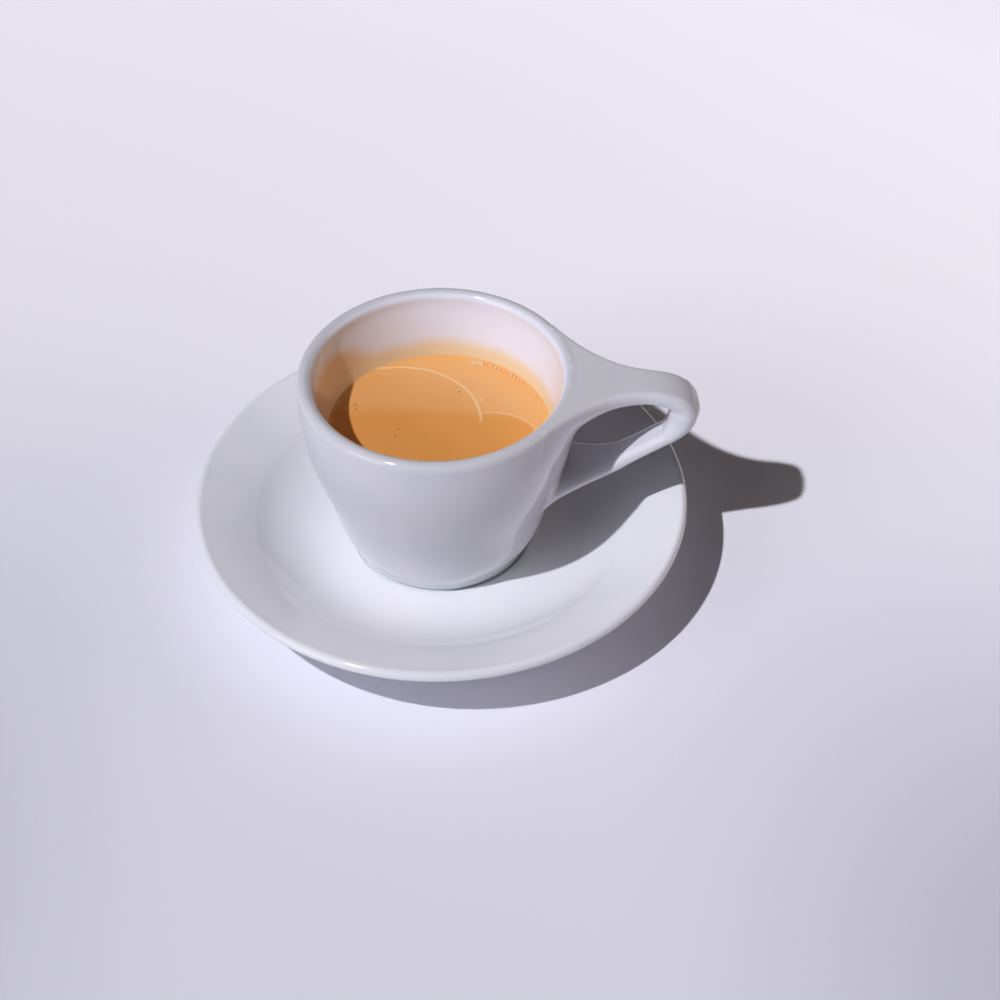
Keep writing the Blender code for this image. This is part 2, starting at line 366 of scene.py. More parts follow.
def handle_line():
    """The loop's outer line: along the band's top, round the nose, back along the strap."""
    nose = (NOSE_REACH, NOSE_HEIGHT)
    strap_top, strap_middle = np.array(STRAP_TOP), np.array(STRAP_MIDDLE)
    strap_end = np.array(STRAP_END)
    slant = (strap_top - strap_middle) / np.hypot(*(strap_top - strap_middle))
    root = (strap_middle - strap_end) / np.hypot(*(strap_middle - strap_end))
    line = np.concatenate([
        np.array([(BAND_START, BAND_TOP), ((BAND_START + NOSE_START) / 2, BAND_TOP)]),
        bezier((NOSE_START, BAND_TOP), (NOSE_PULL[0], BAND_TOP), (nose[0], NOSE_PULL[1]), nose),
        bezier(nose, (nose[0], NOSE_PUSH), strap_top + slant * NOSE_RUN, strap_top),
        bezier(strap_top, strap_top - slant * STRAP_RUN,
               strap_middle + slant * STRAP_RUN, strap_middle, STRAP_STEPS),
        bezier(strap_middle, strap_middle - slant * ROOT_RUN, strap_end + root * ROOT_RUN, strap_end),
        np.array([strap_end, STRAP_START]),
    ])
    # the two straight runs get as many points as the rest
    dense = []
    for start, end in zip(line[:-1], line[1:]):
        pieces = max(int(np.hypot(*(end - start)) / LINE_GAP), 1)
        dense.append(start + (end - start) * (np.arange(pieces) / pieces)[:, None])
    return np.concatenate(dense + [line[-1:]])


def handle_sizes(line):
    """Half width, thickness and crown at each point of the loop's outer line."""
    reach = np.maximum(line[:, 0], BAND_ROOT)
    height = line[:, 1]
    over = np.clip((BAND_TOP - height) / (BAND_TOP - NOSE_HEIGHT), 0, 1)
    under = np.clip((NOSE_HEIGHT - height) / (NOSE_HEIGHT - STRAP_TOP[1]), 0, 1)
    band = BAND_HALF_WIDTH + (NOSE_HALF_WIDTH - BAND_HALF_WIDTH) * over
    band = band + BAND_FLARE * np.maximum(BAND_NARROWEST - reach, 0) ** 2
    band_deep = BAND_THICKNESS + (NOSE_THICKNESS - BAND_THICKNESS) * over
    band_deep = band_deep + BAND_DEEPENING * np.maximum(BAND_DEEPENS_FROM - reach, 0) ** 2
    strap = NOSE_HALF_WIDTH + (STRAP_HALF_WIDTH - NOSE_HALF_WIDTH) * under
    strap = strap + STRAP_FLARE * np.maximum(STRAP_NARROWEST - reach, 0) ** 2
    strap_deep = NOSE_THICKNESS + (STRAP_THICKNESS - NOSE_THICKNESS) * under ** 2
    upper = height > NOSE_HEIGHT
    crown = np.where(upper, NOSE_CROWN * over, NOSE_CROWN * (1 - under))
    return np.stack([np.where(upper, band, strap), np.where(upper, band_deep, strap_deep), crown], 1)


def handle_lattice():
    """Depth under the outer line, with the handle's sizes there, over the handle's plane."""
    line = handle_line()
    sizes = handle_sizes(line)
    run = np.diff(line, axis=0)
    run = run / np.hypot(*run.T)[:, None]

    def make(spots):
        places = nearest(spots, line)[1]
        index = np.minimum(places.astype(int), len(line) - 2)
        share = (places - index)[:, None]
        foot = line[index] * (1 - share) + line[index + 1] * share
        offset = spots - foot
        way = run[index]
        side = np.where(way[:, 1] * offset[:, 0] - way[:, 0] * offset[:, 1] > 0, 1.0, -1.0)
        depth = side * np.hypot(*offset.T)
        size = sizes[index] * (1 - share) + sizes[index + 1] * share
        return np.concatenate([depth[:, None], size], 1)
    return Lattice(*HANDLE_ROOM, make)


def handle_depth(lattice, spots):
    """Distance to the handle, negative inside: square outside, with round corners."""
    depth, width, thick, crown = np.moveaxis(lattice(spots[:, 0], spots[:, 2]), -1, 0)
    across = np.abs(spots[:, 1])
    lift = crown * (1 - np.minimum(across / width, 1) ** 2) * np.clip(1 - depth / thick, 0, 1)
    depth = depth + lift
    corner = np.where(depth < EDGE_ROUND, EDGE_ROUND, thick - EDGE_ROUND)
    beside = across - (width - corner)
    beyond = np.where(depth < EDGE_ROUND, EDGE_ROUND - depth, depth - EDGE_ROUND)
    outside = np.hypot(np.maximum(beside, 0), np.maximum(beyond, 0))
    return outside + np.minimum(np.maximum(beside, beyond), 0) - corner


def eased(value, low, high):
    """0 below low and 1 above high, with a soft way between them."""
    share = np.clip((value - low) / (high - low), 0, 1)
    return share * share * (3 - 2 * share)


class CupForm:
    """The glazed form as a distance: wall and handle joined by fillets, less the hollow."""

    def __init__(self):
        self.outer = Lattice(*WALL_ROOM, section_depth(outer_line()))
        self.hollow = Lattice(*WALL_ROOM, section_depth(inner_line()))
        self.handle = handle_lattice()

    def __call__(self, spots):
        radius = np.hypot(spots[:, 0], spots[:, 1])
        height = spots[:, 2]
        wall = self.outer(radius, height)[:, 0]
        near = spots[:, 0] > HANDLE_FROM
        handle = np.full(len(spots), FAR_OFF)
        handle[near] = handle_depth(self.handle, spots[near])
        fillet = FILLET_BELOW + (FILLET_TOP - FILLET_BELOW) * eased(height, *FILLET_HEIGHTS)
        fillet = fillet + (FILLET_STRAP - FILLET_BELOW) * (1 - eased(height, *STRAP_HEIGHTS))
        meet = np.maximum(fillet - np.abs(wall - handle), 0) / fillet
        joined = np.minimum(wall, handle) - meet ** 3 * fillet / 6
        return np.maximum(joined, -self.hollow(radius, height)[:, 0])

    def slope(self, spots):
        ways = []
        for axis in range(3):
            shift = np.zeros(3)
            shift[axis] = SLOPE_STEP
            ways.append((self(spots + shift) - self(spots - shift)) / (2 * SLOPE_STEP))
        return np.stack(ways, 1)


def skin(form, low, high, pitch):
    """Points and four-sided faces over the surface where the form's distance is zero."""
    low = np.array(low, float)
    counts = np.ceil((np.array(high) - low) / pitch).astype(int) + 1
    values = np.empty(tuple(counts))
    second, third = np.meshgrid(
        low[1] + np.arange(counts[1]) * pitch, low[2] + np.arange(counts[2]) * pitch, indexing="ij")
    for layer in range(counts[0]):
        first = np.full(second.size, low[0] + layer * pitch)
        values[layer] = form(np.stack([first, second.ravel(), third.ravel()], 1)).reshape(second.shape)
    inside = values < 0
    cells = tuple(counts - 1)
    corners = [(i, j, k) for i in (0, 1) for j in (0, 1) for k in (0, 1)]

    def corner(table, place):
        return table[tuple(slice(p, p + c) for p, c in zip(place, cells))]
    filled = sum(corner(inside, place).astype(np.int8) for place in corners)
    mixed = np.argwhere((filled > 0) & (filled < 8))
    number = np.full(cells, -1)
    number[tuple(mixed.T)] = np.arange(len(mixed))
    total = np.zeros((len(mixed), 3))
    crossings = np.zeros(len(mixed))
    for axis in range(3):
        step = np.eye(3, dtype=int)[axis]
        for place in corners:
            if place[axis]:
                continue
            start = mixed + place
            a = values[tuple(start.T)]
            b = values[tuple((start + step).T)]
            crosses = (a < 0) != (b < 0)
            share = np.where(crosses, a / np.where(crosses, a - b, 1), 0)
            total += np.where(crosses[:, None], np.array(place) + share[:, None] * step, 0)
            crossings += crosses
    points = low + pitch * (mixed + total / crossings[:, None])
    faces = []
    for axis in range(3):
        ahead, left, up = np.roll(np.eye(3, dtype=int), -axis, axis=0)
        size = tuple(counts - ahead)
        start = inside[tuple(slice(0, n) for n in size)]
        end = inside[tuple(slice(s, s + n) for s, n in zip(ahead, size))]
        edges = np.argwhere(start != end)
        outward = start[tuple(edges.T)]
        around = [number[tuple((edges - left * i - up * j).T)] for i, j in ((1, 1), (0, 1), (0, 0), (1, 0))]
        ring = np.stack(around, 1)
        ring[~outward] = ring[~outward][:, ::-1]
        faces.append(ring)
    return points, np.concatenate(faces)


def make_cup(material):
    """The skin of the form, with its points then moved onto the exact surface."""
    form = CupForm()
    points, faces = skin(form, *CUP_ROOM, CUP_PITCH)
    for turn in range(SETTLING_TURNS):
        slope = form.slope(points)
        length = np.maximum((slope ** 2).sum(1), LEAST_SLOPE)
        move = np.clip(form(points) / length, -CUP_PITCH / 2, CUP_PITCH / 2)
        points = points - slope * move[:, None]
    points[:, 2] = np.minimum(points[:, 2], RIM_HEIGHT)
    normals = form.slope(points)
    normals /= np.linalg.norm(normals, axis=1)[:, None]
    mesh = bpy.data.meshes.new("porcelain_cup")
    mesh.from_pydata((points * MM).tolist(), [], faces.tolist())
    cup = object_from("porcelain_cup", mesh, material)
    mesh.normals_split_custom_set_from_vertices(normals.tolist())
    return cup


# Saucer

def make_saucer(material):
    seat_inset, seat_rise = SEAT_BEND
    seat = [(0.0, SEAT_HEIGHT), (SEAT_RADIUS / 2, SEAT_HEIGHT),
            (SEAT_RADIUS - seat_inset, SEAT_HEIGHT), (SEAT_RADIUS, SEAT_HEIGHT + seat_rise)]
    well_inset, well_drop = WELL_BEND
    edge = [(SEAT_RADIUS + SEAT_SLOPE - well_inset, WELL_HEIGHT - well_drop),
            (SEAT_RADIUS + SEAT_SLOPE, WELL_HEIGHT - WELL_SINK)]
    well = spline(WELL_SLOPE, start=(1, 0), end=WELL_END)
    lip_centre = (SAUCER_RADIUS - SAUCER_LIP_ROUND, SAUCER_LIP_HEIGHT)
    lip = arc(lip_centre, SAUCER_LIP_ROUND, LIP_TURNS_FROM, LIP_TURNS_TO)
    turn = math.radians(LIP_TURNS_FROM)
    outer = spline(OUTER_SLOPE + [lip[0]], start=OUTER_START, end=(math.sin(turn), -math.cos(turn)))
    under = spline([lip[-1]] + UNDER_SLOPE)
    ring = [arc((RING_OUTSIDE - RING_ROUND, RING_ROUND), RING_ROUND, 0, -90, RING_STEPS),
            arc((RING_INSIDE + RING_ROUND, RING_ROUND), RING_ROUND, -90, -180, RING_STEPS)]
    middle = [(RING_INSIDE - UNDERSIDE_INSET, UNDERSIDE_HEIGHT), (0.0, UNDERSIDE_HEIGHT)]
    section = np.concatenate([seat, edge, well, outer[1:], lip[1:], under[1:], *ring, middle])
    return turned("porcelain_saucer", section, material)


# Drink

def make_drink(material):
    """The drink up to its level, with a meniscus that climbs the wall a little."""
    wall = inner_line()[2:]
    wall = wall[wall[:, 1] < DRINK_LEVEL + MENISCUS]
    edge = wall[0, 0]
    surface = []
    for share in np.linspace(0, 1, SURFACE_STEPS) ** SURFACE_CROWDING:
        radius = share * (edge - MENISCUS_REACH)
        surface.append((radius, DRINK_LEVEL))
    for share in np.linspace(0, 1, MENISCUS_STEPS)[1:]:
        climb = MENISCUS * share ** MENISCUS_CURVE
        surface.append((edge - MENISCUS_REACH * (1 - share), DRINK_LEVEL + climb))
    surface.append((edge + INTO_WALL, DRINK_LEVEL + MENISCUS))
    below = []
    for here, ahead in zip(wall[1:-1:WALL_STRIDE], wall[2::WALL_STRIDE]):
        way = (ahead - here) / np.hypot(*(ahead - here))
        radius = here[0] - way[1] * INTO_WALL
        below.append((max(radius, LEAST_RADIUS), here[1] + way[0] * INTO_WALL))
    below.append((0.0, wall[-1, 1] - INTO_WALL))
    return turned("espresso_drink", np.array(surface + below), material, DRINK_TURN_STEPS)


# Specks and bubbles, which repeat

def beads_tree():
    """A small round bead at each point: their sizes are drawn between two limits."""
    tree = bpy.data.node_groups.new("small_beads", "GeometryNodeTree")
    tree.interface.new_socket("Places", in_out="INPUT", socket_type="NodeSocketGeometry")
    for name, kind in (("Spread", "Float"), ("Smallest", "Float"), ("Largest", "Float"),
                       ("Flatness", "Float"), ("Seed", "Int"), ("Finish", "Material")):
        tree.interface.new_socket(name, in_out="INPUT", socket_type="NodeSocket" + kind)
    tree.interface.new_socket("Beads", in_out="OUTPUT", socket_type="NodeSocketGeometry")
    given = tree.nodes.new("NodeGroupInput").outputs

    def node(kind, settings, sockets):
        made = tree.nodes.new(kind)
        for name, value in settings.items():
            setattr(made, name, value)
        for name, value in sockets.items():
            if isinstance(value, bpy.types.NodeSocket):
                tree.links.new(value, made.inputs[name])
            else:
                made.inputs[name].default_value = value
        return made

    back = node("ShaderNodeMath", {"operation": "MULTIPLY"}, {0: given["Spread"], 1: -1.0})
    low = node("ShaderNodeCombineXYZ", {}, {"X": back.outputs[0], "Y": back.outputs[0], "Z": 0.0})
    high = node("ShaderNodeCombineXYZ", {}, {"X": given["Spread"], "Y": given["Spread"], "Z": 0.0})
    strew = node("FunctionNodeRandomValue", {"data_type": "FLOAT_VECTOR"}, {
        0: low.outputs[0], 1: high.outputs[0], "Seed": given["Seed"]})
    strewn = node("GeometryNodeSetPosition", {}, {
        "Geometry": given["Places"], "Offset": strew.outputs[0]})
    size = node("FunctionNodeRandomValue", {"data_type": "FLOAT"}, {
        2: given["Smallest"], 3: given["Largest"], "Seed": given["Seed"]})
    flat = node("ShaderNodeMath", {"operation": "MULTIPLY"}, {0: size.outputs[1], 1: given["Flatness"]})
    scale = node("ShaderNodeCombineXYZ", {}, {
        "X": size.outputs[1], "Y": size.outputs[1], "Z": flat.outputs[0]})
    bead = node("GeometryNodeMeshUVSphere", {}, {
        "Segments": BEAD_SEGMENTS, "Rings": BEAD_RINGS, "Radius": 1.0})
    set_out = node("GeometryNodeInstanceOnPoints", {}, {
        "Points": strewn.outputs["Geometry"], "Instance": bead.outputs["Mesh"], "Scale": scale.outputs[0]})
    real = node("GeometryNodeRealizeInstances", {}, {"Geometry": set_out.outputs["Instances"]})
    done = node("GeometryNodeSetMaterial", {}, {
        "Geometry": real.outputs["Geometry"], "Material": given["Finish"]})
    tree.links.new(done.outputs["Geometry"], tree.nodes.new("NodeGroupOutput").inputs["Beads"])
    return tree


def beads(name, tree, points, inputs):
    """A plain mesh of beads at the points, in mm."""
    places = bpy.data.meshes.new(name + "_places")
    places.from_pydata((np.array(points, float) * MM).tolist(), [], [])
    guide = bpy.data.objects.new(name + "_places", places)
    bpy.context.scene.collection.objects.link(guide)
    modifier = guide.modifiers.new("beads", "NODES")
    modifier.node_group = tree
    for item in tree.interface.items_tree:
        if item.in_out == "INPUT" and item.name in inputs:
            modifier[item.identifier] = inputs[item.name]
    shown = guide.evaluated_get(bpy.context.evaluated_depsgraph_get())
    mesh = bpy.data.meshes.new_from_object(shown)
    guide.modifiers.remove(modifier)
    bpy.data.objects.remove(guide, do_unlink=True)
    mesh.name = name
    thing = bpy.data.objects.new(name, mesh)
    bpy.context.scene.collection.objects.link(thing)
    mesh.shade_smooth()
    return thing


def round_drink(start, end, radius, height, steps):
    """Points round the drink's edge between two angles in degrees."""
    return [(x, y, height) for x, y in arc((0.0, 0.0), radius, start, end, steps)]


# Finishes

class Term:
    """A value in a finish's node tree, which adds its own Math nodes."""

    def __init__(self, finish, socket):
        self.finish = finish
        self.socket = socket

    def math(self, operation, *values):
        return self.finish.node("ShaderNodeMath", {"operation": operation}, dict(enumerate(values)))

    def __add__(self, other):
        return self.math("ADD", self, other)

    def __radd__(self, other):
        return self.math("ADD", other, self)

    def __sub__(self, other):
        return self.math("SUBTRACT", self, other)

    def __rsub__(self, other):
        return self.math("SUBTRACT", other, self)

    def __mul__(self, other):
        return self.math("MULTIPLY", self, other)

    def __rmul__(self, other):
        return self.math("MULTIPLY", other, self)

    def __truediv__(self, other):
        return self.math("DIVIDE", self, other)

    def __rtruediv__(self, other):
        return self.math("DIVIDE", other, self)

    def root(self):
        return self.math("SQRT", self)

    def size(self):
        return self.math("ABSOLUTE", self)

    def least(self, other):
        return self.math("MINIMUM", self, other)

    def most(self, other):
        return self.math("MAXIMUM", self, other)


class Finish:
    """A material and its nodes."""

    def __init__(self, name, **constants):
        self.material = bpy.data.materials.new(name)
        self.material.use_nodes = True
        self.tree = self.material.node_tree
        self.shader = self.tree.nodes["Principled BSDF"]
        for socket, value in constants.items():
            self.shader.inputs[socket.replace("_", " ")].default_value = value
        self.place = self.node("ShaderNodeTexCoord", {}, {}, "Object")

    def node(self, kind, settings, sockets, output=0):
        """A node with its settings, then the values or links of its sockets."""
        made = self.tree.nodes.new(kind)
        for name, value in settings.items():
            setattr(made, name, value)
        for name, value in sockets.items():
            if isinstance(value, Term):
                self.tree.links.new(value.socket, made.inputs[name])
            else:
                made.inputs[name].default_value = value
        return Term(self, made.outputs[output])

    def feed(self, socket, value):
        self.tree.links.new(value.socket, self.shader.inputs[socket])

    def noise(self, scale, detail=3.0, roughness=0.5):
        """Soft noise between 0 and 1, with its scale per metre."""
        return self.node("ShaderNodeTexNoise", {}, {
            "Vector": self.place, "Scale": scale, "Detail": detail, "Roughness": roughness})

    def from_point(self, centre):
        """Distance in mm from an upright line through the centre."""
        x = self.axis("X") / MM - centre[0]
        y = self.axis("Y") / MM - centre[1]
        return (x * x + y * y).root()

    def axis(self, letter):
        return self.node("ShaderNodeSeparateXYZ", {}, {"Vector": self.place}, letter)

    def soft_step(self, value, start, end):
        return self.node("ShaderNodeMapRange", {"interpolation_type": "SMOOTHSTEP"}, {
            "Value": value, "From Min": start, "From Max": end})

    def mix(self, factor, first, second):
        """Two colours mixed, by the sockets that a colour mix has."""
        return self.node("ShaderNodeMix", {"data_type": "RGBA"}, {0: factor, 6: first, 7: second}, 2)

    def bump(self, height, strength, distance):
        return self.node("ShaderNodeBump", {}, {
            "Strength": strength, "Distance": distance, "Height": height})


# Glaze: places in mm, noise scales per metre
SAUCER_WHITE = (0.86, 0.85, 0.89, 1.0)
SAUCER_COOL = (0.83, 0.835, 0.885, 1.0)
CUP_WHITE = (0.735, 0.72, 0.765, 1.0)
CUP_COOL = (0.705, 0.705, 0.755, 1.0)
# Inner wall painted lighter and bluer than the outside, as painted light inside the cup.
CUP_INSIDE_PAINTED_LIGHT = (0.84, 0.86, 0.97, 1.0)
GLAZE_FOOT = (0.74, 0.80, 0.82, 1.0)
GLAZE_FILM = (0.84, 0.66, 0.42, 1.0)
# Warmer film on the left wall: painted bounce light from the lit crema onto the wall in shade.
PAINTED_BOUNCE_FILM = (0.80, 0.54, 0.34, 1.0)
# Where that painted bounce light lies on the left, in mm along X, and how much higher it paints the film.
PAINTED_BOUNCE_SIDE = (-27.0, -16.0)
PAINTED_BOUNCE_LIFT = 7.0
FOOT_TINT_HEIGHTS = (8.0, 12.5)
INSIDE_FROM = (38.4, 39.4)
FILM_HEIGHTS = (42.0, 46.4)
INSIDE_RADIUS = 30.2
INSIDE_BLEND = 0.6
FILM_PATCHES = 160.0
FILM_UNEVENNESS = 2.4
GLAZE_IOR = 1.5
GLAZE_ROUGHNESS = 0.075
GLAZE_DULLING = 0.03
DULLING_PATCHES = 220.0
POOLS = 60.0
POOL_EDGES = (0.35, 0.65)
POOL_SHARE = 0.8
PITS = 900.0
PIT_SHARE = 0.2
RIPPLE = 0.12
RIPPLE_DEPTH = 0.0001
SMOOTH_DETAIL = 2.0
NOISE_MIDDLE = 0.5


def plain_glaze(finish, white, cool):
    """Gloss of a clear glaze that pools very slightly unevenly, with its two whites mixed."""
    pooled = finish.noise(POOLS, SMOOTH_DETAIL)
    fine = finish.noise(PITS, SMOOTH_DETAIL)
    finish.feed("Roughness", finish.noise(DULLING_PATCHES) * GLAZE_DULLING + GLAZE_ROUGHNESS)
    finish.feed("Normal", finish.bump(pooled * POOL_SHARE + fine * PIT_SHARE, RIPPLE, RIPPLE_DEPTH))
    return finish.mix(finish.soft_step(pooled, *POOL_EDGES), white, cool)


def saucer_glaze():
    finish = Finish("saucer_glaze_finish", IOR=GLAZE_IOR)
    finish.feed("Base Color", plain_glaze(finish, SAUCER_WHITE, SAUCER_COOL))
    return finish.material


def cup_glaze():
    """The cup's white, a little green where the glaze gathers at the foot, with a film of
    crema on the wall just above the drink. Inside, the white is painted lighter and bluer as
    painted light, and on the left the film is painted warmer and higher as painted bounce
    light from the crema onto the wall in shade."""
    finish = Finish("cup_glaze_finish", IOR=GLAZE_IOR)
    white = plain_glaze(finish, CUP_WHITE, CUP_COOL)
    height = finish.axis("Z") / MM
    gathered = 1.0 - finish.soft_step(height, *FOOT_TINT_HEIGHTS)
    white = finish.mix(gathered, white, GLAZE_FOOT)
    radius = finish.from_point((0.0, 0.0))
    inside = 1.0 - finish.soft_step(radius, INSIDE_RADIUS - INSIDE_BLEND, INSIDE_RADIUS)
    inside = inside * finish.soft_step(height, *INSIDE_FROM)
    # painted light: the inner wall painted lighter and bluer than the outside white
    white = finish.mix(inside, white, CUP_INSIDE_PAINTED_LIGHT)
    uneven = (finish.noise(FILM_PATCHES) - NOISE_MIDDLE) * FILM_UNEVENNESS
    # painted bounce light: on the left, in shade, the film is painted warmer and reaches higher
    bounce_side = 1.0 - finish.soft_step(finish.axis("X") / MM, *PAINTED_BOUNCE_SIDE)
    wet = 1.0 - finish.soft_step(height + uneven - bounce_side * PAINTED_BOUNCE_LIFT, *FILM_HEIGHTS)
    film = finish.mix(bounce_side, GLAZE_FILM, PAINTED_BOUNCE_FILM)
    finish.feed("Base Color", finish.mix(wet * inside, white, film))
    return finish.material


# Crema: places in mm, noise scales per metre
# The foam's tan, from deeper to lighter; the painted caustic light and the painted reflection lean to the
# lighter end.
CREMA_DEEP = (0.84, 0.345, 0.076, 1.0)
CREMA_LIGHT = (0.88, 0.485, 0.185, 1.0)
# Colour of the painted caustic lines: painted light thrown onto the foam by the lit inner wall.
PAINTED_CAUSTIC_TAN = (0.98, 0.66, 0.34, 1.0)
# The painted caustic's two arcs in mm: the main one, then the side one that meets it in a point.
CAUSTIC_CENTRE = (-9.82, 1.79)
CAUSTIC_RADIUS = 19.56
CAUSTIC_TAIL = (-4.5, -1.0)
NEAR_CAUSTIC = (-4.0, 0.0)
SIDE_CENTRE = (12.59, -6.37)
SIDE_RADIUS = 12.41
SIDE_FROM = (-0.5, 0.0)
SIDE_STRENGTH = 0.55
# Softness of the painted caustic light beyond the arcs, and of its lines.
CAUSTIC_LIGHT_EDGE = (-0.25, 0.25)
CAUSTIC_LINE_EDGES = (0.05, 0.5)
CAUSTIC_LINE_STRENGTH = 0.8
# Where the back of the foam is painted lighter, in mm along Y: a painted reflection of the far inner wall.
PAINTED_REFLECTION_FROM = (3.0, 8.0)
CAUSTIC_SHOWS_FROM = (-6.0, 1.0)
BENDS = 90.0
BEND_REACH = 0.7
PAINTED_REFLECTION_BEND = 2.0
LEAST_SHARE = 0.02
# Share of lighter tan that the painted reflection adds.
PAINTED_REFLECTION_SHARE = 0.4
# Shares of the lighter tan: painted caustic glow near the main arc, and painted caustic light beyond the
# arcs.
CAUSTIC_GLOW_SHARE = 0.14
CAUSTIC_LIGHT_SHARE = 0.62
CLOUDS = 70.0
CLOUD_DETAIL = 4.0
CLOUD_ROUGHNESS = 0.55
CLOUD_SHARE = 0.25
FOAM_IOR = 1.35
FOAM_ROUGHNESS = 0.2
FOAM_DULLING = 0.06
FOAM_PATCHES = 300.0
FOAM_GRAIN = 2500.0
FOAM_BUMP = 0.1
FOAM_DEPTH = 0.00005


def crema():
    """Tan foam with painted light: two rounded fields of deeper tan are edged by thin pale
    lines that meet in a point with a short tail. The lines are a painted caustic, light thrown
    from the lit inner wall, and the foam beyond them is painted lighter as lit by it. The back
    of the foam is painted lighter as a painted reflection of the far inner wall."""
    finish = Finish("wet_crema", IOR=FOAM_IOR)
    bend = (finish.noise(BENDS, SMOOTH_DETAIL) - NOISE_MIDDLE) * BEND_REACH
    caustic = finish.from_point(CAUSTIC_CENTRE) - CAUSTIC_RADIUS + bend
    side = finish.from_point(SIDE_CENTRE) - SIDE_RADIUS + bend
    y = finish.axis("Y") / MM
    north = finish.soft_step(y, *CAUSTIC_SHOWS_FROM)
    # painted caustic light: the foam beyond both arcs is painted lighter
    outside = finish.soft_step(caustic.least(side), *CAUSTIC_LIGHT_EDGE) * north
    # a soft painted glow of the caustic just inside the main arc
    near_caustic = finish.soft_step(caustic, *NEAR_CAUSTIC)
    # painted reflection: the back of the foam painted lighter, mirroring the far inner wall
    upper = finish.soft_step(y + bend * PAINTED_REFLECTION_BEND, *PAINTED_REFLECTION_FROM)
    # the two thin pale lines of the painted caustic
    caustic_line = 1.0 - finish.soft_step(caustic.size(), *CAUSTIC_LINE_EDGES)
    side_caustic_line = 1.0 - finish.soft_step(side.size(), *CAUSTIC_LINE_EDGES)
    caustic_line = caustic_line * finish.soft_step(side, *CAUSTIC_TAIL)
    side_caustic_line = side_caustic_line * finish.soft_step(caustic, *SIDE_FROM) * SIDE_STRENGTH
    line = caustic_line.most(side_caustic_line) * north * CAUSTIC_LINE_STRENGTH
    cloud = finish.noise(CLOUDS, CLOUD_DETAIL, CLOUD_ROUGHNESS)
    inner = LEAST_SHARE + upper * PAINTED_REFLECTION_SHARE + near_caustic * upper * CAUSTIC_GLOW_SHARE
    share = inner + outside * (CAUSTIC_LIGHT_SHARE - inner) + cloud * CLOUD_SHARE
    tan = finish.mix(share, CREMA_DEEP, CREMA_LIGHT)
    finish.feed("Base Color", finish.mix(line, tan, PAINTED_CAUSTIC_TAN))
    finish.feed("Roughness", finish.noise(FOAM_PATCHES) * FOAM_DULLING + FOAM_ROUGHNESS)
    grain = finish.noise(FOAM_GRAIN, SMOOTH_DETAIL)
    finish.feed("Normal", finish.bump(grain, FOAM_BUMP, FOAM_DEPTH))
    return finish.material


BUBBLE_SKIN = (0.92, 0.58, 0.30)
GLINT_SKIN = (0.86, 0.66, 0.45)
SPECK_BROWN = (0.22, 0.09, 0.03)
BUBBLE_ROUGHNESS = 0.08
GLINT_ROUGHNESS = 0.04
SPECK_ROUGHNESS = 0.35
FROTH_PATCHES = 1500.0
FROTH_DARKENING = 0.8


def froth(name, colour, roughness):
    finish = Finish(name, IOR=FOAM_IOR, Roughness=roughness)
    dark = tuple(part * FROTH_DARKENING for part in colour)
    finish.feed("Base Color", finish.mix(finish.noise(FROTH_PATCHES), (*dark, 1.0), (*colour, 1.0)))
    return finish.material


# Table: places in mm
# Near tone of the paper. The far tone is painted light, and the corner grey is painted shade, which the
# paper's grain also leans to.
TABLE_NEAR = (0.825, 0.815, 0.895, 1.0)
TABLE_FAR_PAINTED_LIGHT = (0.97, 0.95, 1.0, 1.0)
PAINTED_SHADE_AND_GRAIN = (0.56, 0.555, 0.64, 1.0)
PAINTED_LIGHT_TOWARDS_BACK = (-40.0, 130.0)
PAINTED_SHADE_ACROSS = (40.0, 150.0)
PAINTED_SHADE_FRONT = (-120.0, 20.0)
PAPER_ROUGHNESS = 0.75
PAPER_GRAIN = 900.0
GRAIN_SHARE = 0.06


def table_paper():
    """Pale paper, painted lighter towards the back as painted light and greyer in the front corners as
    painted shade.
    """
    finish = Finish("pale_table", Roughness=PAPER_ROUGHNESS)
    x, y = finish.axis("X") / MM, finish.axis("Y") / MM
    # painted light towards the back, then painted shade in the front corners
    tone = finish.mix(finish.soft_step(y, *PAINTED_LIGHT_TOWARDS_BACK), TABLE_NEAR, TABLE_FAR_PAINTED_LIGHT)
    corner = finish.soft_step(x.size(), *PAINTED_SHADE_ACROSS) * (1.0 - finish.soft_step(y, *PAINTED_SHADE_FRONT))
    tone = finish.mix(corner, tone, PAINTED_SHADE_AND_GRAIN)
    grain = finish.noise(PAPER_GRAIN) * GRAIN_SHARE
    finish.feed("Base Color", finish.mix(grain, tone, PAINTED_SHADE_AND_GRAIN))
    return finish.material


# Floor, lights and camera

def make_floor():
    mesh = bpy.data.meshes.new("table_top")
    half = TABLE_HALF
    corners = [(-half, -half, 0), (half, -half, 0), (half, half, 0), (-half, half, 0)]
    mesh.from_pydata(corners, [], [(0, 1, 2, 3)])
    floor = object_from("table_top", mesh, table_paper())


def soft_panel(name, place, target, size, power, colour):
    light = bpy.data.lights.new(name, "AREA")
    light.shape = "RECTANGLE"
    light.size, light.size_y = size
    light.energy = power
    light.color = colour
    lamp = bpy.data.objects.new(name, light)
    lamp.location = Vector(place) * MM
    lamp.rotation_euler = (Vector(target) * MM - lamp.location).to_track_quat("-Z", "Y").to_euler()
    bpy.context.scene.collection.objects.link(lamp)


